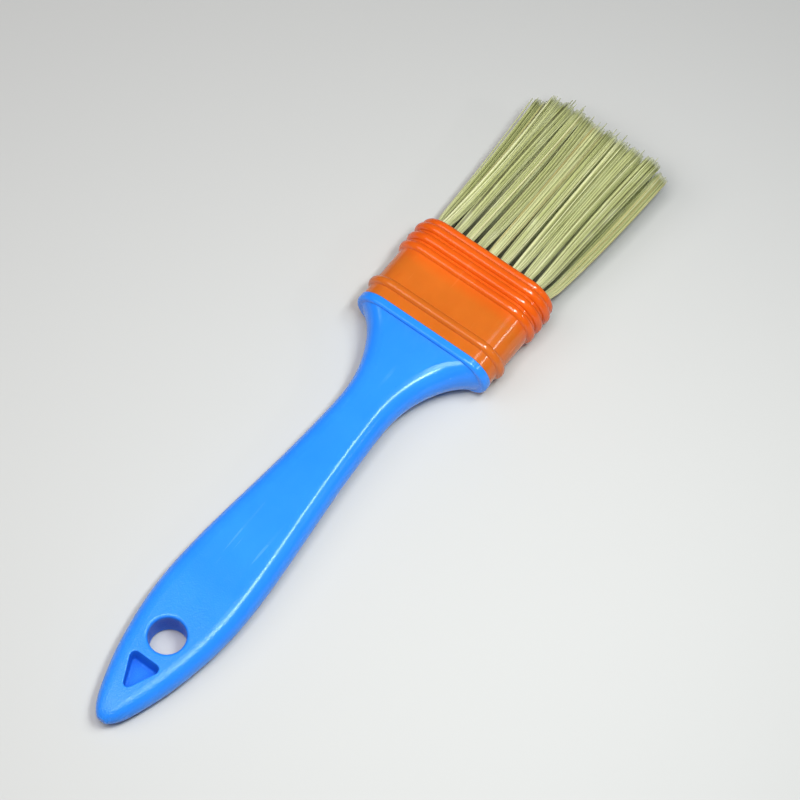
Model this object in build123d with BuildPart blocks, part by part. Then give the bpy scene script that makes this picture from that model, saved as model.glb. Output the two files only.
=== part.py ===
from build123d import *
import os

# A flat paint brush lying on its back: a moulded handle with a tongue, a ribbed head pushed over the
# tongue, and tufts of natural fibre folded over wire anchors in blind holes in the head's front face.
# Millimetres. +X runs from the tail of the handle to the bristle tips, +Y across the width and +Z up
# through the thickness. The origin is on the surface under the brush, below the middle of its length.

# Driving dimensions
HEAD_WIDTH = 38.0  # nominal 1 1/2 inch brush, measured over the plain panel
HEAD_THICKNESS = 13.3
HEAD_LENGTH = 25.4
HANDLE_LENGTH = 121.5  # tail tip to shoulder
BRISTLE_LENGTH = 47.0  # longest fibres, from the mouth of the head to their tips
RIB_PROUD = 1.0
HANG_HOLE_DIAMETER = 8.9

# Places along the brush
X_TAIL = -(HANDLE_LENGTH + HEAD_LENGTH + BRISTLE_LENGTH) / 2
X_SHOULDER = X_TAIL + HANDLE_LENGTH
X_MOUTH = X_SHOULDER + HEAD_LENGTH
X_TIP = X_MOUTH + BRISTLE_LENGTH
Z_MID = HEAD_THICKNESS / 2 + RIB_PROUD

# Handle. Each station is its distance from the tail tip, its half width and its half thickness. The small
# first section is the flat scar of the moulding gate.
HANDLE_STATIONS = [
    (0.0, 1.3, 1.0),
    (0.5, 1.95, 1.55),
    (1.5, 2.85, 2.2),
    (3.0, 3.8, 2.75),
    (5.0, 4.75, 3.15),
    (8.5, 6.05, 3.45),
    (14.0, 7.8, 3.7),
    (21.5, 9.5, 3.85),
    (29.0, 10.65, 4.0),
    (37.0, 11.15, 4.15),
    (45.0, 10.95, 4.25),
    (56.0, 10.1, 4.3),
    (68.0, 8.85, 4.3),
    (80.0, 7.75, 4.25),
    (90.0, 7.1, 4.25),
    (97.0, 6.85, 4.3),
    (103.0, 7.4, 4.45),
    (108.0, 8.85, 4.7),
    (112.0, 10.75, 5.05),
    (115.0, 12.7, 5.4),
    (117.3, 14.9, 5.7),
    (119.2, 17.4, 6.0),
]
SIDE_ROUNDNESS = 0.97  # edge radius as a share of the half thickness: nearly a full round
LIP_LENGTH = 2.3
LIP_PROUD = 0.2  # lip over the head's plain panel
LIP_BACK_ROUND = 0.9
LIP_FRONT_ROUND = 0.4

# Hang hole, and the triangular pocket on each face between the hole and the tail
X_HANG_HOLE = X_TAIL + 24.0
HANG_HOLE_ROUND = 0.8
HANG_HOLE_DRILL = 20.0  # longer than the handle is thick
X_POCKET_APEX = X_TAIL + 6.6
POCKET_LENGTH = 10.6  # length of the sharp triangle, from its apex to its base
POCKET_HALF_BASE = 4.75
POCKET_CORNER = 1.4
POCKET_DEPTH = 3.1
POCKET_DRAFT = 14
POCKET_TILT = 7  # degrees; the floor falls away from the apex towards the hang hole
POCKET_RIM_ROUND = 0.35
POCKET_FLOOR_ROUND = 0.6
POCKET_PLANE = 5.2  # height over the middle plane, at the apex, that the pocket's depth is measured from

# Tongue on the handle and socket in the head, with a snap ridge under the rear rib
SOCKET_WALL = 1.6
SOCKET_DEPTH = 14.4
TONGUE_CLEARANCE = 0.15
TONGUE_LENGTH = 14.0
TONGUE_CHAMFER = 0.8
X_SNAP = X_SHOULDER + 4.0
SNAP_LENGTH = 2.4
SNAP_WIDTH = 22.0
SNAP_HEIGHT = 0.6
SNAP_TAPER = 40
SNAP_CLEARANCE = 0.1
TONGUE_HALF_THICKNESS = HEAD_THICKNESS / 2 - SOCKET_WALL - TONGUE_CLEARANCE

# Beads round the head: distance of the centre from the shoulder, radius, and height over the panel
BEADS = [
    (4.0, 1.3, RIB_PROUD),
    (16.0, 1.3, RIB_PROUD),
    (19.1, 1.3, RIB_PROUD),
    (22.2, 1.3, RIB_PROUD),
    (24.2, 1.2, 0.3),
]
MOUTH_STEP = 1.2  # length of the narrower nose inside the last bead
MOUTH_INSET = 0.9  # how far the front face stands inside the panel's outline

# Tufts: three staggered rows in the front face, each with its count and its level
ROWS = [("upper", 9, 1), ("middle", 10, 0), ("lower", 9, -1)]
TUFT_PITCH = 3.48
ROW_PITCH = 3.4
TUFT_HOLE_RADIUS = 1.35
TUFT_ROOT_RADIUS = 1.3
TUFT_TIP_RADIUS = 1.75
TUFT_HOLE_DEPTH = 9.0
FAN_WIDTH = 1.03  # tip spacing over root spacing, across the width
FAN_THICKNESS = 1.25
LEAN = -1.0  # sideways set of the whole fan at its tips
FLARE = 2.0  # how much further the outermost tufts spread
FLARE_POWER = 5
TIP_BOW = 2.0  # how far the outermost tufts fall short of the middle ones
TIP_BOW_POWER = 4

# Flat wire anchors, one across the bottom of each tuft hole
ANCHOR_LENGTH = 1.8
ANCHOR_WIDTH = 3.1
ANCHOR_THICKNESS = 0.35
ANCHOR_INSET = 0.4  # from the floor of the tuft hole

X_TUFT_FLOOR = X_MOUTH - TUFT_HOLE_DEPTH
X_ANCHOR = X_TUFT_FLOOR + ANCHOR_INSET + ANCHOR_LENGTH / 2


def tuft_roots():
    """Name, Y and height of every tuft's root, in the plane of the front face."""
    roots = []
    for row, count, level in ROWS:
        for column in range(count):
            y = (column - (count - 1) / 2) * TUFT_PITCH
            roots.append((f"tuft_{row}_{column + 1}", y, Z_MID + level * ROW_PITCH))
    return roots


def save(part, name):
    part.label = name
    export_step(part, f"parts/{name}.step")


def half_space(side):
    """Plane through the middle of the thickness, facing up (side 1) or down (side -1)."""
    return Plane((0, 0, Z_MID), x_dir=(1, 0, 0), z_dir=(0, 0, side))


os.makedirs("parts", exist_ok=True)
roots = tuft_roots()
root_places = [(y, z) for _, y, z in roots]
anchor_places = [(X_ANCHOR, y, z) for y, z in root_places]

# Handle: lip and tongue first, then the lofted grip with its hang hole and pockets
with BuildPart() as handle:
    with BuildSketch(Plane.YZ.offset(X_SHOULDER - LIP_LENGTH)):
        with Locations((0, Z_MID)):
            SlotOverall(HEAD_WIDTH + 2 * LIP_PROUD, HEAD_THICKNESS + 2 * LIP_PROUD)
    extrude(amount=LIP_LENGTH)
    fillet(handle.edges().group_by(Axis.X)[0], LIP_BACK_ROUND)
    fillet(handle.edges().group_by(Axis.X)[-1], LIP_FRONT_ROUND)

    with BuildSketch(Plane.YZ.offset(X_SHOULDER)):
        with Locations((0, Z_MID)):
            tongue_inset = 2 * (SOCKET_WALL + TONGUE_CLEARANCE)
            SlotOverall(HEAD_WIDTH - tongue_inset, HEAD_THICKNESS - tongue_inset)
    extrude(amount=TONGUE_LENGTH)
    chamfer(handle.edges().group_by(Axis.X)[-1], TONGUE_CHAMFER)

    for side in (1, -1):
        with BuildSketch(half_space(side).offset(TONGUE_HALF_THICKNESS)):
            with Locations((X_SNAP, 0)):
                Rectangle(SNAP_LENGTH, SNAP_WIDTH)
        extrude(amount=SNAP_HEIGHT, taper=SNAP_TAPER)

    for distance, half_width, half_thickness in HANDLE_STATIONS:
        with BuildSketch(Plane.YZ.offset(X_TAIL + distance)):
            with Locations((0, Z_MID)):
                RectangleRounded(2 * half_width, 2 * half_thickness, SIDE_ROUNDNESS * half_thickness)
    loft()

    with Locations((X_HANG_HOLE, 0, Z_MID)):
        Cylinder(HANG_HOLE_DIAMETER / 2, HANG_HOLE_DRILL, mode=Mode.SUBTRACT)
    hang_hole_rims = handle.edges(Select.LAST).filter_by(GeomType.LINE, reverse=True)
    fillet(hang_hole_rims, HANG_HOLE_ROUND)

    for side in (1, -1):
        pocket_plane = half_space(side).offset(POCKET_PLANE).move(Location((X_POCKET_APEX, 0, 0)))
        pocket_plane = pocket_plane.rotated((0, side * POCKET_TILT, 0))
        with BuildSketch(pocket_plane):
            with BuildLine():
                Polyline(
                    (POCKET_LENGTH, POCKET_HALF_BASE),
                    (0, 0),
                    (POCKET_LENGTH, -POCKET_HALF_BASE),
                    close=True,
                )
            triangle = make_face()
            fillet(triangle.vertices(), POCKET_CORNER)
        extrude(amount=-POCKET_DEPTH, taper=POCKET_DRAFT, mode=Mode.SUBTRACT)
        pocket_rim = handle.edges(Select.LAST).filter_by(GeomType.BSPLINE)
        floor_normal = Axis((0, 0, 0), pocket_plane.z_dir)
        pocket_floor = handle.faces(Select.LAST).filter_by(GeomType.PLANE).filter_by(floor_normal)
        fillet(pocket_floor.edges(), POCKET_FLOOR_ROUND)
        fillet(pocket_rim, POCKET_RIM_ROUND)
save(handle.part, "handle")

# Head: a beaded sleeve, hollow behind for the tongue and solid in front for the tufts
with BuildPart() as brush_head:
    with BuildSketch(Plane.YZ.offset(X_SHOULDER)):
        with Locations((0, Z_MID)):
            SlotOverall(HEAD_WIDTH, HEAD_THICKNESS)
    extrude(amount=HEAD_LENGTH - MOUTH_STEP)
    with BuildSketch(Plane.YZ.offset(X_MOUTH - MOUTH_STEP)):
        with Locations((0, Z_MID)):
            SlotOverall(HEAD_WIDTH - 2 * MOUTH_INSET, HEAD_THICKNESS - 2 * MOUTH_INSET)
    extrude(amount=MOUTH_STEP)

    straight = (HEAD_WIDTH - HEAD_THICKNESS) / 2
    for place, radius, proud in BEADS:
        bend = HEAD_THICKNESS / 2 + proud - radius
        bead_start = (X_SHOULDER + place, -straight, Z_MID + bend)
        with BuildLine(Plane.YZ.offset(X_SHOULDER + place)) as bead_path:
            Line((-straight, Z_MID + bend), (straight, Z_MID + bend))
            ThreePointArc((straight, Z_MID + bend), (straight + bend, Z_MID), (straight, Z_MID - bend))
            Line((straight, Z_MID - bend), (-straight, Z_MID - bend))
            ThreePointArc((-straight, Z_MID - bend), (-straight - bend, Z_MID), (-straight, Z_MID + bend))
        with BuildSketch(Plane(bead_start, x_dir=(1, 0, 0), z_dir=(0, 1, 0))):
            Circle(radius)
        sweep(path=bead_path.wire())

    with BuildSketch(Plane.YZ.offset(X_SHOULDER)):
        with Locations((0, Z_MID)):
            SlotOverall(HEAD_WIDTH - 2 * SOCKET_WALL, HEAD_THICKNESS - 2 * SOCKET_WALL)
    extrude(amount=SOCKET_DEPTH, mode=Mode.SUBTRACT)
    for side in (1, -1):
        with BuildSketch(half_space(side).offset(TONGUE_HALF_THICKNESS)):
            with Locations((X_SNAP, 0)):
                Rectangle(SNAP_LENGTH + 2 * SNAP_CLEARANCE, SNAP_WIDTH + 2 * SNAP_CLEARANCE)
        extrude(amount=SNAP_HEIGHT + SNAP_CLEARANCE, taper=SNAP_TAPER, mode=Mode.SUBTRACT)

    with BuildSketch(Plane.YZ.offset(X_MOUTH)):
        with Locations(*root_places):
            Circle(TUFT_HOLE_RADIUS)
    extrude(amount=-TUFT_HOLE_DEPTH, mode=Mode.SUBTRACT)
    with Locations(*anchor_places):
        Box(ANCHOR_LENGTH, ANCHOR_WIDTH, ANCHOR_THICKNESS, mode=Mode.SUBTRACT)
save(brush_head.part, "brush_head")

# Anchors: short flat wires that bite into the sides of the tuft holes
with BuildPart() as staple_anchors:
    with Locations(*anchor_places):
        Box(ANCHOR_LENGTH, ANCHOR_WIDTH, ANCHOR_THICKNESS)
save(staple_anchors.part, "staple_anchors")

# Tufts: a straight root in the hole, slotted for its anchor, and a free length that fans out
outermost = max(y for _, y, _ in roots)
for name, y_root, z_root in roots:
    y_tip = y_root * FAN_WIDTH + LEAN + FLARE * (y_root / outermost) ** FLARE_POWER
    z_tip = Z_MID + (z_root - Z_MID) * FAN_THICKNESS
    x_tip = X_TIP - TIP_BOW * (y_root / outermost) ** TIP_BOW_POWER
    with BuildPart() as tuft:
        with BuildSketch(Plane.YZ.offset(X_TUFT_FLOOR)):
            with Locations((y_root, z_root)):
                Circle(TUFT_ROOT_RADIUS)
        extrude(amount=TUFT_HOLE_DEPTH)
        with BuildSketch(Plane.YZ.offset(X_MOUTH)):
            with Locations((y_root, z_root)):
                Circle(TUFT_ROOT_RADIUS)
        with BuildSketch(Plane.YZ.offset(x_tip)):
            with Locations((y_tip, z_tip)):
                Circle(TUFT_TIP_RADIUS)
        loft()
        with Locations((X_ANCHOR, y_root, z_root)):
            Box(ANCHOR_LENGTH, ANCHOR_WIDTH, ANCHOR_THICKNESS, mode=Mode.SUBTRACT)
    save(tuft.part, name)
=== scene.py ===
import math

import bpy
import numpy as np
from mathutils import Matrix, Vector


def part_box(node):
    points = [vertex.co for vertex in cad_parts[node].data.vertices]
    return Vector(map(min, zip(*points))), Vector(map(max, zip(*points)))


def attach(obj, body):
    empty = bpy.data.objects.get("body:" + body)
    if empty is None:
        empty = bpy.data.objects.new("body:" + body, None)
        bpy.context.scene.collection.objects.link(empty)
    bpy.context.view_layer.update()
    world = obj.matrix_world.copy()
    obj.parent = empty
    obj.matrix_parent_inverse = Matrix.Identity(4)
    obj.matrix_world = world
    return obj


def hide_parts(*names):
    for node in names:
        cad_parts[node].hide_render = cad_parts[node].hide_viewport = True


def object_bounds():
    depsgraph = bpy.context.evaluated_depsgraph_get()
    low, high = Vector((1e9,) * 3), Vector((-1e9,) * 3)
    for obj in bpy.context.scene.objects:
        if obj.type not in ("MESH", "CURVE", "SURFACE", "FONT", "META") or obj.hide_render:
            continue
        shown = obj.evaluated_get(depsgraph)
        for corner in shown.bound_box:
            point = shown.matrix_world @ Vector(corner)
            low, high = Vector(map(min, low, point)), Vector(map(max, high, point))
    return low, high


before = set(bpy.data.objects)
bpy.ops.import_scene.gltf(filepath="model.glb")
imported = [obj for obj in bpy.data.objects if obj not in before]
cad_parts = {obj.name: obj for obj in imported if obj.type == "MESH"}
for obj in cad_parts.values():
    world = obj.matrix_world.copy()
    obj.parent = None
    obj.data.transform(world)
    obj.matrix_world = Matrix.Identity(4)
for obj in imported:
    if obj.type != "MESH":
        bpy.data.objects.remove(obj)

cad_low, cad_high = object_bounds()
MM = 0.001

# Places worked out from the frame
head_low, head_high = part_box("brush_head")
handle_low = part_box("handle")[0]
X_TAIL = handle_low[0]
X_SHOULDER = head_low[0]
X_MOUTH = head_high[0]
Z_MID = (head_low[2] + head_high[2]) / 2


def put(name, data, place, axes):
    """Add an object at place whose own X, Y and Z axes are the three given."""
    item = bpy.data.objects.new(name, data)
    item.matrix_world = Matrix.Translation(place) @ Matrix(axes).transposed().to_4x4()
    bpy.context.scene.collection.objects.link(item)
    return item


# ---------------------------------------------------------------- camera

CAMERA_AZIMUTH = 37.24  # degrees from +X to the level direction that the camera looks in
CAMERA_ELEVATION = 63.66  # degrees that it looks down by
CAMERA_DISTANCE = 855 * MM
CAMERA_LENS = 162.0  # millimetres, as Blender takes them, like the sensor's width
CAMERA_SENSOR = 36.0
CAMERA_CLIP = 10 * MM
AIM_RIGHT = -6.14 * MM  # from the middle of the shoulder to the point in the picture's centre
AIM_UP = -14.46 * MM


def add_camera():
    azimuth = math.radians(CAMERA_AZIMUTH)
    elevation = math.radians(CAMERA_ELEVATION)
    level = Vector((math.cos(azimuth), math.sin(azimuth), 0))
    forward = level * math.cos(elevation) + Vector((0, 0, -math.sin(elevation)))
    right = forward.cross(Vector((0, 0, 1))).normalized()
    up = right.cross(forward)
    aim = Vector((X_SHOULDER, 0, Z_MID)) + right * AIM_RIGHT + up * AIM_UP
    data = bpy.data.cameras.new("camera")
    data.lens = CAMERA_LENS
    data.sensor_width = CAMERA_SENSOR
    data.clip_start = CAMERA_CLIP
    place = aim - forward * CAMERA_DISTANCE
    bpy.context.scene.camera = put("camera", data, place, (right, up, -forward))


# ---------------------------------------------------------------- light

# The two soft boxes overhead: place, sides and radiance. The tops of the head's beads look at the gap
# between them.
SOFT_BOXES = {
    "soft_box_far": ((-0.30, 0.38, 0.60), (0.44, 0.36), 2.2),
    "soft_box_near": ((-0.18, -0.02, 0.70), (0.44, 0.26), 8.7),
}
SOFT_BOX_TARGET = (-0.02, 0, Z_MID)

# The narrow lights that draw fine lines of gloss on the edges of the handle, the head and its beads: the
# place of the line, the direction from there to the light, the light's sides, its radiance and its colour
X_PANEL = X_SHOULDER + 13 * MM  # about halfway along the head
TOWARDS_HANDLE_STRIPS = (0.353, -0.294, 0.888)
PALE_CYAN = (0.92, 1, 1)
STRIPS = {
    "handle_strip": ((-0.0715, -0.006, Z_MID), TOWARDS_HANDLE_STRIPS, (0.169, 0.034), 24.0, PALE_CYAN),
    "tail_strip": ((-0.118, -0.006, Z_MID), TOWARDS_HANDLE_STRIPS, (0.080, 0.036), 26.0, PALE_CYAN),
    "head_strip": ((X_PANEL, -0.016, Z_MID), (0.353, -0.710, 0.610), (0.03, 0.008), 60.0, (1, 1, 1)),
    "bead_strip": ((X_PANEL, 0, Z_MID), (-0.300, 0.269, 0.915), (0.008, 0.060), 22.0, (1, 0.9, 0.85)),
}
STRIP_DISTANCE = 0.30

SKY_COLOUR = (0.9, 0.94, 1.0, 1.0)
SKY_STRENGTH = 0.10


def add_area_light(name, place, target, size, radiance, colour=(1, 1, 1)):
    """A rectangle at place that faces target, its first side laid along X as nearly as it can be."""
    along = Vector((1, 0, 0))
    back = (Vector(place) - Vector(target)).normalized()
    side = (along - back * along.dot(back)).normalized()
    data = bpy.data.lights.new(name, "AREA")
    data.shape = "RECTANGLE"
    data.size, data.size_y = size
    data.energy = radiance * math.pi * size[0] * size[1]
    data.color = colour
    put(name, data, place, (side, back.cross(side), back))


def add_sky():
    world = bpy.data.worlds.new("studio")
    world.use_nodes = True
    background = world.node_tree.nodes["Background"]
    background.inputs["Color"].default_value = SKY_COLOUR
    background.inputs["Strength"].default_value = SKY_STRENGTH
    bpy.context.scene.world = world


def add_studio():
    for name, (place, size, radiance) in SOFT_BOXES.items():
        add_area_light(name, place, SOFT_BOX_TARGET, size, radiance)
    for name, (edge, towards, size, radiance, colour) in STRIPS.items():
        place = Vector(edge) + Vector(towards) * STRIP_DISTANCE
        add_area_light(name, place, edge, size, radiance, colour)
    add_sky()
    bpy.context.scene.view_settings.view_transform = "Standard"


# ---------------------------------------------------------------- floor

# The CAD shape would lie on the rear bead of the head and on the tail of the handle, a little nose up, so
# the floor is tilted to meet it and the brush stays level.
X_BEAD_CONTACT = X_SHOULDER + 4 * MM
FLOOR_SLOPE = 0.0354
FLOOR_HALF = 3.0
FLOOR_COLOUR = (0.535, 0.523, 0.512, 1)
FLOOR_ROUGHNESS = 0.8


def floor_material():
    material = bpy.data.materials.new("floor_pale")
    material.use_nodes = True
    shader = material.node_tree.nodes["Principled BSDF"]
    shader.inputs["Base Color"].default_value = FLOOR_COLOUR
    shader.inputs["Roughness"].default_value = FLOOR_ROUGHNESS
    return material


def add_floor():
    corners = []
    for x_sign, y_sign in ((-1, -1), (1, -1), (1, 1), (-1, 1)):
        x = x_sign * FLOOR_HALF
        corners.append((x, y_sign * FLOOR_HALF, -FLOOR_SLOPE * (x - X_BEAD_CONTACT)))
    mesh = bpy.data.meshes.new("floor")
    mesh.from_pydata(corners, [], [(0, 1, 2, 3)])
    mesh.materials.append(floor_material())
    floor = bpy.data.objects.new("floor", mesh)
    bpy.context.scene.collection.objects.link(floor)


add_camera()
add_studio()
add_floor()


# ---------------------------------------------------------------- materials


class Nodes:
    """A short way to write a material's node tree."""

    def __init__(self, name):
        self.material = bpy.data.materials.new(name)
        self.material.use_nodes = True
        self.tree = self.material.node_tree
        self.shader = self.tree.nodes["Principled BSDF"]

    def add(self, kind, **settings):
        node = self.tree.nodes.new(kind)
        for key, value in settings.items():
            setattr(node, key, value)
        return node

    def link(self, output, socket):
        self.tree.links.new(output, socket)

    def feed(self, socket, value):
        """Link the value to the socket if it comes out of a node, or else set it there."""
        if isinstance(value, bpy.types.NodeSocket):
            self.link(value, socket)
        else:
            socket.default_value = value

    def drive(self, name, value):
        self.feed(self.shader.inputs[name], value)

    def place(self):
        return self.add("ShaderNodeTexCoord").outputs["Object"]

    def x_of(self, vector):
        node = self.add("ShaderNodeSeparateXYZ")
        self.link(vector, node.inputs["Vector"])
        return node.outputs["X"]

    def attribute(self, name):
        return self.add("ShaderNodeAttribute", attribute_name=name).outputs["Fac"]

    def noise(self, vector, scale, detail=3.0, roughness=0.5):
        node = self.add("ShaderNodeTexNoise")
        node.inputs["Scale"].default_value = scale
        node.inputs["Detail"].default_value = detail
        node.inputs["Roughness"].default_value = roughness
        self.link(vector, node.inputs["Vector"])
        return node.outputs["Fac"]

    def stretch(self, vector, scale, turn=0.0):
        """Scale the vector, then turn what that gives about Z."""
        node = self.add("ShaderNodeMapping", vector_type="POINT")
        node.inputs["Rotation"].default_value = (0, 0, turn)
        node.inputs["Scale"].default_value = scale
        self.link(vector, node.inputs["Vector"])
        return node.outputs["Vector"]

    def span(self, value, low, high, to_low=0.0, to_high=1.0):
        """Map low to high onto to_low to to_high, and stop at both ends."""
        node = self.add("ShaderNodeMapRange", clamp=True)
        node.inputs["From Min"].default_value = low
        node.inputs["From Max"].default_value = high
        node.inputs["To Min"].default_value = to_low
        node.inputs["To Max"].default_value = to_high
        self.link(value, node.inputs["Value"])
        return node.outputs["Result"]

    def ramp(self, value, stops):
        node = self.add("ShaderNodeValToRGB")
        elements = node.color_ramp.elements
        while len(elements) < len(stops):
            elements.new(0.5)
        for element, (position, colour) in zip(elements, stops):
            element.position = position
            element.color = (*colour, 1)
        self.link(value, node.inputs["Fac"])
        return node.outputs["Color"]

    def maths(self, operation, first, second):
        node = self.add("ShaderNodeMath", operation=operation)
        self.feed(node.inputs[0], first)
        self.feed(node.inputs[1], second)
        return node.outputs[0]

    def times(self, first, second):
        return self.maths("MULTIPLY", first, second)

    def plus(self, first, second):
        return self.maths("ADD", first, second)

    def mix(self, share, first, second):
        """The first colour where share is 0, and the second where it is 1."""
        node = self.add("ShaderNodeMix", data_type="RGBA", blend_type="MIX")
        factor, first_colour, second_colour = node.inputs[0], node.inputs[6], node.inputs[7]
        self.feed(factor, share)
        for socket, colour in ((first_colour, first), (second_colour, second)):
            self.feed(socket, (*colour, 1) if isinstance(colour, tuple) else colour)
        return node.outputs[2]

    def bump(self, height, strength, distance, below=None):
        node = self.add("ShaderNodeBump")
        node.inputs["Strength"].default_value = strength
        node.inputs["Distance"].default_value = distance
        self.link(height, node.inputs["Height"])
        if below is not None:
            self.link(below, node.inputs["Normal"])
        return node.outputs["Normal"]


EDGE_COSINES = (0.995, 0.90)  # of how far a bevel turns the normal: an edge starts, and is full, here
RECESS_OPENNESS = (0.95, 0.45)  # share of the sky that is open: a recess starts, and is full, here


def edge_mask(m, radius):
    """1 on edges sharper than radius and 0 on broad faces, from how far a bevel would turn the normal."""
    bevel = m.add("ShaderNodeBevel", samples=4)
    bevel.inputs["Radius"].default_value = radius
    geometry = m.add("ShaderNodeNewGeometry")
    dot = m.add("ShaderNodeVectorMath", operation="DOT_PRODUCT")
    m.link(bevel.outputs["Normal"], dot.inputs[0])
    m.link(geometry.outputs["Normal"], dot.inputs[1])
    return m.span(dot.outputs["Value"], *EDGE_COSINES)


def painted_recess_shade(m, distance):
    """Painted shade: 1 in corners and hollows about as deep as distance, whose colour is darkened as shade
    would darken them.
    """
    occlusion = m.add("ShaderNodeAmbientOcclusion", samples=6, only_local=True)
    occlusion.inputs["Distance"].default_value = distance
    return m.span(occlusion.outputs["AO"], *RECESS_OPENNESS)


SCRATCH_STRETCH = (0.06, 1.0, 1.0)
SCRATCH_CRESTS = (0.70, 0.76)  # heights of the noise that are let through as scratches
SCRATCH_PATCHES = (0.48, 0.62)  # heights of a wider noise that says where there are any
SCRATCH_RELIEF = -0.04 * MM


def scratches(m, place, turn, scale):
    """Sparse hairline marks along X: the thin crests of a noise drawn out that way. turn picks others."""
    crest = m.noise(m.stretch(place, SCRATCH_STRETCH, turn), scale, 2, 0.4)
    patch = m.span(m.noise(place, 55, 2), *SCRATCH_PATCHES)
    return m.times(m.span(crest, *SCRATCH_CRESTS), patch)


PLASTIC_IOR = 1.49
PLASTIC_SCATTER_DEPTH = 2 * MM


def finish_plastic(m, marks, relief, scatter, scatter_colour):
    """What both mouldings share: scratches cut into the relief, and light that scatters inside."""
    m.drive("Normal", m.bump(marks, 0.10, SCRATCH_RELIEF, relief))
    m.drive("IOR", PLASTIC_IOR)
    m.drive("Subsurface Weight", scatter)
    m.drive("Subsurface Radius", scatter_colour)
    m.drive("Subsurface Scale", PLASTIC_SCATTER_DEPTH)


def blue_plastic():
    deep, bright = (0.019, 0.220, 0.84), (0.025, 0.246, 0.90)
    worn, scratched = (0.10, 0.42, 1.0), (0.25, 0.55, 1.0)
    specked, painted_shade_colour = (0.010, 0.10, 0.45), (0.006, 0.065, 0.48)
    painted_shade_share = 0.8

    m = Nodes("handle_blue_plastic")
    place = m.place()
    tail = m.span(m.x_of(place), X_TAIL + 60 * MM, X_TAIL + 10 * MM)
    wear = edge_mask(m, 0.6 * MM)
    marks = m.plus(scratches(m, place, 0.5, 700), scratches(m, place, -0.9, 900))
    speck = m.span(m.noise(place, 1500, 2), 0.74, 0.78)
    # Painted shade: the hang hole, the pocket and other hollows are darkened in the base colour, and the
    # same mask makes them rougher and less glossy.
    shaded_recess = m.times(painted_recess_shade(m, 9 * MM), painted_shade_share)

    colour = m.mix(m.span(m.noise(place, 60, 3), 0.35, 0.7), deep, bright)
    colour = m.mix(m.times(wear, 0.16), colour, worn)
    colour = m.mix(m.times(marks, 0.10), colour, scratched)
    colour = m.mix(m.times(speck, 0.35), colour, specked)
    m.drive("Base Color", m.mix(shaded_recess, colour, painted_shade_colour))

    smear = m.noise(m.stretch(place, (1, 3, 3)), 180, 4, 0.6)
    dullness = m.plus(m.span(smear, 0.3, 0.75, 0.15, 0.24), m.times(marks, 0.12))
    dullness = m.plus(dullness, m.times(shaded_recess, 0.35))
    m.drive("Roughness", m.plus(dullness, m.times(tail, 0.06)))
    m.drive("Specular IOR Level", m.span(shaded_recess, 0.0, painted_shade_share, 0.5, 0.08))
    m.drive("Specular Tint", (0.70, 0.95, 1.0, 1.0))

    # A ripple runs all along the handle, laid over a fine grain that only its tail end has
    grain = m.bump(m.times(m.noise(place, 2600, 3), tail), 0.7, 0.16 * MM)
    ripple = m.bump(m.noise(place, 260, 2), 0.10, 0.1 * MM, grain)
    finish_plastic(m, marks, ripple, 0.06, (0.1, 0.3, 1.0))
    return m.material


SOCKET_DEPTH = 14.4 * MM  # the head is a thin wall over the blue tongue this far from its shoulder


def orange_plastic():
    thin_deep, thin_bright = (0.54, 0.120, 0.010), (0.62, 0.135, 0.012)
    thick_deep, thick_bright = (0.68, 0.092, 0.003), (0.75, 0.108, 0.004)
    worn, scratched, painted_shade_colour = (0.90, 0.28, 0.06), (0.95, 0.40, 0.15), (0.42, 0.030, 0.002)
    x_socket_end = X_SHOULDER + SOCKET_DEPTH

    m = Nodes("head_orange_plastic")
    place = m.place()
    solid = m.span(m.x_of(place), x_socket_end - 3 * MM, x_socket_end + 2 * MM)
    cloud = m.span(m.noise(place, 90, 3), 0.35, 0.7)
    wear = edge_mask(m, 0.5 * MM)
    marks = m.plus(scratches(m, place, 1.3, 800), scratches(m, place, 0.2, 1000))
    # Painted shade: the grooves between the beads and other small hollows are darkened in the base colour.
    shaded_recess = m.times(painted_recess_shade(m, 2 * MM), 0.25)

    thin = m.mix(cloud, thin_deep, thin_bright)
    thick = m.mix(cloud, thick_deep, thick_bright)
    colour = m.mix(solid, thin, thick)
    colour = m.mix(m.times(wear, 0.22), colour, worn)
    colour = m.mix(m.times(marks, 0.10), colour, scratched)
    m.drive("Base Color", m.mix(shaded_recess, colour, painted_shade_colour))

    smear = m.noise(m.stretch(place, (2, 1, 2)), 220, 4, 0.6)
    m.drive("Roughness", m.plus(m.span(smear, 0.3, 0.75, 0.13, 0.22), m.times(marks, 0.12)))
    ripple = m.bump(m.noise(place, 300, 2), 0.12, 0.1 * MM)
    finish_plastic(m, marks, ripple, 0.15, (1.0, 0.25, 0.05))
    return m.material


# Colours of the fibres by their tone. Most run from dull green to pale straw, and the last are amber.
FIBRE_TONES = (
    (0.0, (0.10, 0.10, 0.025)),
    (0.18, (0.27, 0.285, 0.09)),
    (0.5, (0.45, 0.465, 0.185)),
    (0.8, (0.62, 0.62, 0.31)),
    (0.91, (0.73, 0.72, 0.43)),
    (0.94, (0.54, 0.47, 0.19)),
    (1.0, (0.44, 0.36, 0.12)),
)


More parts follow.
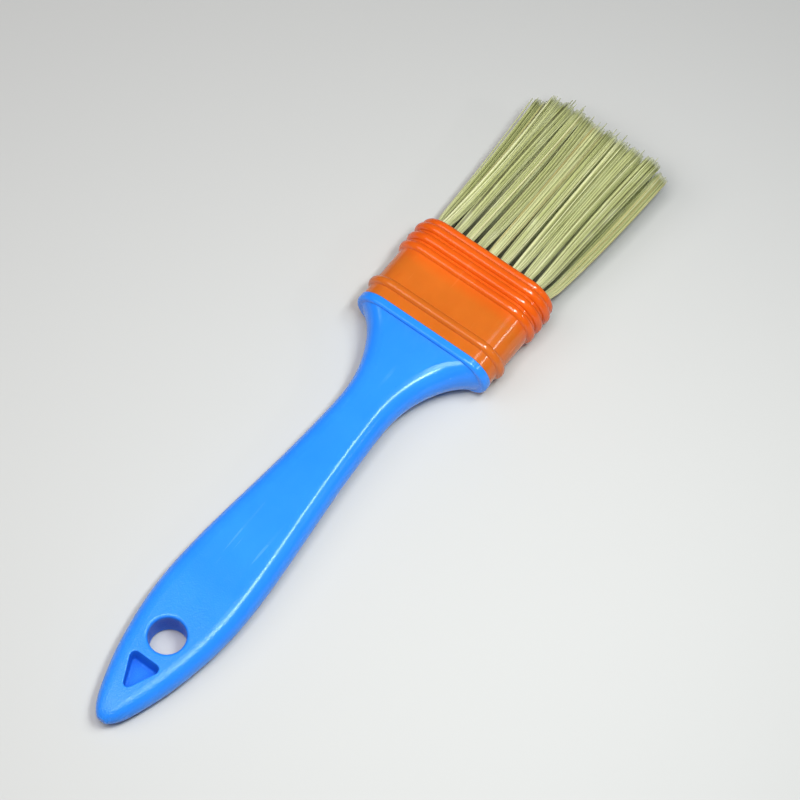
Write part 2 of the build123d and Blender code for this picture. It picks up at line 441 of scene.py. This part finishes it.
def fibre():
    streaked, blotched = (0.34, 0.35, 0.13), (0.80, 0.80, 0.58)
    at_root, at_cut = (0.54, 0.52, 0.33), (0.90, 0.90, 0.72)
    in_shade = (0.02, 0.02, 0.006)

    m = Nodes("bristle_fibre")
    tone = m.attribute("tone")
    along = m.attribute("along")
    shade = m.attribute("shade")

    # The streaks run along each fibre, and no two fibres share them
    own = m.add("ShaderNodeCombineXYZ")
    m.link(m.times(along, 7), own.inputs["X"])
    m.link(m.times(tone, 90), own.inputs["Y"])
    streak = m.noise(own.outputs["Vector"], 1.0, 3, 0.6)
    blotch = m.noise(m.stretch(m.place(), (120, 500, 500)), 1.0, 2, 0.5)

    colour = m.ramp(tone, FIBRE_TONES)
    colour = m.mix(m.span(streak, 0.40, 0.75, 0.0, 0.40), colour, streaked)
    colour = m.mix(m.span(blotch, 0.55, 0.75, 0.0, 0.25), colour, blotched)
    colour = m.mix(m.span(along, 0.40, 0.0, 0.0, 0.40), colour, at_root)
    colour = m.mix(m.span(along, 0.975, 0.99, 0.0, 0.5), colour, at_cut)
    # Painted shade: fibres in the heart of the bundle are darkened towards in_shade near the mouth, by the
    # shade attribute.
    m.drive("Base Color", m.mix(shade, in_shade, colour))
    m.drive("Roughness", m.span(streak, 0.3, 0.7, 0.38, 0.58))
    m.drive("Normal", m.bump(blotch, 0.25, 0.1 * MM))
    m.drive("Sheen Weight", 0.10)
    return m.material


def wire():
    dull, bright = (0.50, 0.50, 0.52), (0.66, 0.66, 0.65)
    m = Nodes("anchor_wire")
    grain = m.noise(m.stretch(m.place(), (1, 12, 1)), 300, 4)
    m.drive("Base Color", m.mix(m.span(grain, 0.3, 0.7), dull, bright))
    m.drive("Metallic", 1.0)
    m.drive("Roughness", m.span(grain, 0.3, 0.7, 0.25, 0.45))
    m.drive("Normal", m.bump(grain, 0.2, 0.02 * MM))
    return m.material


def dress(node, material):
    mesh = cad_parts[node].data
    mesh.materials.clear()
    mesh.materials.append(material)


dress("handle", blue_plastic())
dress("brush_head", orange_plastic())
dress("staple_anchors", wire())


# ---------------------------------------------------------------- tufts

FIBRES_PER_TUFT = 84
FIBRE_SIDES = 6
FIBRE_RADIUS = 0.140 * MM
RADIUS_SPREAD = (0.75, 1.25)  # of the fibres, times their usual radius
TAPER = 0.15  # share of its radius that a fibre loses by the front of the CAD box
RINGS = 13  # along the free length of a fibre, and one more for its end in the hole
ROOT_CLEARANCE = 0.2 * MM  # from the bottom of a tuft to the end of its fibres
TIP_CLEARANCE = 0.05 * MM  # from the front of the CAD box to the longest fibres
ROOT_PACKING = 0.92  # share of the tuft's radius that the fibres fill where they leave the hole
DISC_SCATTER = 0.03  # of the fibres about their even places, in tuft radii

CLUMPS = 11  # locks in a tuft
LOCK_PULL = 0.3  # most that a lock draws its fibres together at their tips
LOCK_SCATTER = 0.06  # of their tips about that, in tuft radii
WANDERER_SHARE = 0.04
WANDER = 0.3  # most that a wanderer's tip stands to one side of its place, in tuft radii

CUT_BACK = 2.6 * MM  # the common cut line stands this far behind the front of the CAD box
CUT_JITTER = 0.25 * MM
STRAY_SHARE = 0.06  # of the fibres are longer than the cut
STRAY_REACH = (0.2, 1.0)  # square roots of how much of the cut-back a stray takes up

SPREAD_EASE = 0.50  # below 1, a tuft opens faster just outside the mouth than near its tips
SPLAY_WITHIN = 0.04  # share of the free length over which the fibres splay as they leave their hole
ROWS_MEET = 1.18  # how much deeper a tuft is at its tips than its plain CAD shape, so the rows mingle there
TUFT_BOW = 0.30 * MM  # of a whole tuft, away from a straight line
FIBRE_SWAY = 0.09 * MM  # of one fibre within its tuft, at its tip
SWAY_TURN = 5  # radians of sway over the free length

TONE_SHAPE = 1.4  # of the beta distribution of tones, the same at both ends
TUFT_TONE = 0.05  # spread of tone from tuft to tuft
HEART_SHADE = 0.98  # how much darker the heart of the bundle is painted than its outside, at the mouth: painted shade
HEART_SKIN = 0.15  # how far above its middle an outer tuft starts to be shaded, in tuft radii
SHADE_AT_ROOT = 1.25  # shade before it is held to 1, and what it loses over the length of a fibre
SHADE_FADE = 2.2

FLAT_END = 0.01 * MM  # vertices this near the end of a CAD tuft are on its flat end
rng = np.random.default_rng(11)

# For each tuft, from the +Y side of its row to the -Y side, in millimetres: how far it splays towards +Y
# just outside its hole, how far it leans further by its tips, half its width there, and how far its cut
# stands beyond the common cut line.
TUFT_SHAPES = {
    "upper": (
        (-0.3, -0.9, 1.95, 0.0),
        (-0.2, -1.2, 1.70, 0.2),
        (0.0, -1.1, 1.40, 0.4),
        (0.0, -0.6, 1.75, 0.0),
        (0.0, -0.4, 1.70, -0.3),
        (0.0, -0.4, 1.90, 0.0),
        (-0.1, -0.6, 2.00, -0.2),
        (-0.1, -1.2, 2.20, -0.2),
        (-0.3, -2.0, 2.25, 0.0),
    ),
    "middle": (
        (0.3, 0.8, 2.30, -0.8),
        (0.0, -0.4, 2.00, -0.4),
        (0.0, -1.2, 1.90, -0.2),
        (0.0, -0.9, 1.90, -0.3),
        (0.0, -0.5, 1.90, -0.1),
        (0.0, -0.4, 1.90, -0.2),
        (0.0, -0.6, 1.90, -0.3),
        (-0.1, -0.9, 2.00, -0.1),
        (-0.2, -1.5, 2.10, -0.2),
        (-0.6, -2.8, 1.80, 0.0),
    ),
    "lower": (
        (0.1, -0.5, 1.90, -0.6),
        (0.0, -1.1, 1.80, -0.2),
        (0.0, -1.0, 1.80, -0.1),
        (0.0, -0.5, 1.80, -0.3),
        (0.0, -0.4, 1.80, 0.0),
        (0.0, -0.5, 1.80, -0.2),
        (0.0, -0.8, 1.90, -0.1),
        (-0.1, -1.3, 2.00, -0.3),
        (-0.3, -2.2, 2.10, -0.2),
    ),
}


def end_of(node, pick):
    """Middle and radius of the flat end of a CAD tuft: pick is min for the root and max for the tip."""
    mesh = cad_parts[node].data
    points = np.empty(len(mesh.vertices) * 3)
    mesh.vertices.foreach_get("co", points)
    points = points.reshape(-1, 3)
    end = points[abs(points[:, 0] - pick(points[:, 0])) < FLAT_END]
    middle = (end.min(axis=0) + end.max(axis=0)) / 2
    return middle, (end[:, 2].max() - end[:, 2].min()) / 2


def held_in_disc(places):
    return places / np.maximum(1, np.linalg.norm(places, axis=1, keepdims=True))


def disc_points():
    """Nearly evenly spread places in a unit disc, one for each fibre, a golden angle apart."""
    k = np.arange(FIBRES_PER_TUFT) + 0.5
    r = np.sqrt(k / FIBRES_PER_TUFT)
    turn = k * math.pi * (3 - math.sqrt(5))
    places = np.stack((r * np.cos(turn), r * np.sin(turn)), axis=1)
    return held_in_disc(places + rng.normal(0, DISC_SCATTER, places.shape))


def gathered(disc):
    """The same places at the tips, where the fibres have drawn together into a few locks."""
    locks = disc[rng.choice(len(disc), CLUMPS, replace=False)]
    nearest = np.argmin(((disc[:, None] - locks[None]) ** 2).sum(axis=2), axis=1)
    pull = rng.uniform(0.0, LOCK_PULL, CLUMPS)[nearest][:, None]
    moved = disc * (1 - pull) + locks[nearest] * pull + rng.normal(0, LOCK_SCATTER, disc.shape)
    moved = held_in_disc(moved)
    wanderers = rng.random(len(disc)) < WANDERER_SHARE
    moved[wanderers, 0] += rng.uniform(-WANDER, WANDER, wanderers.sum())
    return moved


def fibre_ends(cut):
    """Where along X each fibre ends: near the cut, apart from a few strays, and within the CAD box."""
    ends = cut + rng.normal(0, CUT_JITTER, FIBRES_PER_TUFT)
    strays = rng.random(FIBRES_PER_TUFT) < STRAY_SHARE
    ends[strays] += rng.uniform(*STRAY_REACH, strays.sum()) ** 2 * CUT_BACK
    return np.minimum(ends, cad_high[0] - TIP_CLEARANCE)


def fibre_lines(node, splay, lean, half_width, beyond):
    """Centre lines of one tuft's fibres, (fibres, rings, 3), and each fibre's radius at each ring."""
    root, root_radius = end_of(node, min)
    tip, tip_radius = end_of(node, max)
    disc = disc_points()
    disc_tip = gathered(disc)
    ends = fibre_ends(cad_high[0] - CUT_BACK + beyond)

    x = X_MOUTH + (ends[:, None] - X_MOUTH) * np.linspace(0, 1, RINGS)[None, :]
    reach = (x - X_MOUTH) / (cad_high[0] - X_MOUTH)
    opened = reach**SPREAD_EASE
    splayed = 1 - np.exp(-reach / SPLAY_WITHIN)
    phase = rng.uniform(0, 2 * math.pi, (FIBRES_PER_TUFT, 1))
    bow = rng.normal(0, TUFT_BOW)

    lines = np.zeros((FIBRES_PER_TUFT, RINGS + 1, 3))
    lines[:, 0, 0] = root[0] + ROOT_CLEARANCE
    lines[:, 1:, 0] = x
    sides = ((1, splay, root[1] + lean, half_width), (2, 0, tip[2], ROWS_MEET * tip_radius))
    for axis, kick, tip_place, tip_half in sides:
        at_root = disc[:, axis - 1, None] * (ROOT_PACKING * root_radius - FIBRE_RADIUS)
        at_tip = disc_tip[:, axis - 1, None] * (tip_half - FIBRE_RADIUS)
        centre = root[axis] + (tip_place - root[axis]) * reach + kick * splayed
        centre = centre + bow * np.sin(reach * math.pi)
        amount = rng.normal(0, FIBRE_SWAY, (FIBRES_PER_TUFT, 1))
        sway = amount * np.sin(reach * SWAY_TURN + phase) * reach
        lines[:, 1:, axis] = centre + at_root * (1 - opened) + at_tip * opened + sway
        lines[:, 0, axis] = root[axis] + at_root[:, 0]
    taper = np.concatenate((np.ones((FIBRES_PER_TUFT, 1)), 1 - TAPER * reach), axis=1)
    return lines, FIBRE_RADIUS * rng.uniform(*RADIUS_SPREAD, (FIBRES_PER_TUFT, 1)) * taper


def tube_faces(fibres, rings):
    """Corners of the faces of the tubes: four for each one along a side, and one face for each end."""
    ring = np.arange(FIBRE_SIDES)
    last_ring = (rings - 1) * FIBRE_SIDES
    faces = []
    for first in range(0, fibres * rings * FIBRE_SIDES, rings * FIBRE_SIDES):
        for a in range(first, first + last_ring, FIBRE_SIDES):
            for k in range(FIBRE_SIDES):
                n = (k + 1) % FIBRE_SIDES
                faces.append((a + k, a + n, a + FIBRE_SIDES + n, a + FIBRE_SIDES + k))
        faces.append(tuple(first + ring[::-1]))
        faces.append(tuple(first + last_ring + ring))
    return faces


def tube_mesh(name, lines, thick):
    """One tube of FIBRE_SIDES sides for each line, smooth along its sides and closed at both ends."""
    angles = np.arange(FIBRE_SIDES) * 2 * math.pi / FIBRE_SIDES
    around = np.stack((np.zeros(FIBRE_SIDES), np.cos(angles), np.sin(angles)), axis=1)
    points = lines[:, :, None, :] + thick[:, :, None, None] * around[None, None]
    faces = tube_faces(*lines.shape[:2])
    mesh = bpy.data.meshes.new(name)
    mesh.from_pydata(points.reshape(-1, 3).tolist(), [], faces)
    mesh.polygons.foreach_set("use_smooth", [len(face) == 4 for face in faces])
    return mesh


def buried_share(row, number, heights):
    """For each fibre of a tuft, 0 on the outside of the whole bundle and 1 in its heart, where shade is
    painted.
    """
    if row == "middle":
        return np.full(len(heights), float(1 < number < len(TUFT_SHAPES[row])))
    outward = 1 if row == "upper" else -1
    offsets = heights - heights.mean()
    level = outward * offsets / np.abs(offsets).max()
    return np.clip(HEART_SKIN - level, 0, 1)


def add_attribute(mesh, name, values):
    mesh.attributes.new(name, "FLOAT", "POINT").data.foreach_set("value", values)


def add_tuft(row, number, material, shape):
    node = f"tuft_{row}_{number}"
    lines, thick = fibre_lines(node, *(value * MM for value in shape))
    mesh = tube_mesh(f"fibres_{row}_{number}", lines, thick)
    tones = rng.beta(TONE_SHAPE, TONE_SHAPE, FIBRES_PER_TUFT) + rng.normal(0, TUFT_TONE)
    along = np.linspace(0, 1, RINGS + 1)
    fade = np.clip(SHADE_AT_ROOT - SHADE_FADE * along, 0, 1)
    shade = 1 - HEART_SHADE * buried_share(row, number, lines[:, 1, 2])[:, None] * fade[None, :]
    add_attribute(mesh, "tone", np.repeat(np.clip(tones, 0, 1), (RINGS + 1) * FIBRE_SIDES))
    add_attribute(mesh, "along", np.tile(np.repeat(along, FIBRE_SIDES), FIBRES_PER_TUFT))
    add_attribute(mesh, "shade", np.repeat(shade.reshape(-1), FIBRE_SIDES))
    mesh.materials.append(material)
    piece = bpy.data.objects.new(mesh.name, mesh)
    bpy.context.scene.collection.objects.link(piece)
    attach(piece, "root")
    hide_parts(node)


fibre_material = fibre()
for row, shapes in TUFT_SHAPES.items():
    for number, shape in enumerate(reversed(shapes), start=1):
        add_tuft(row, number, fibre_material, shape)
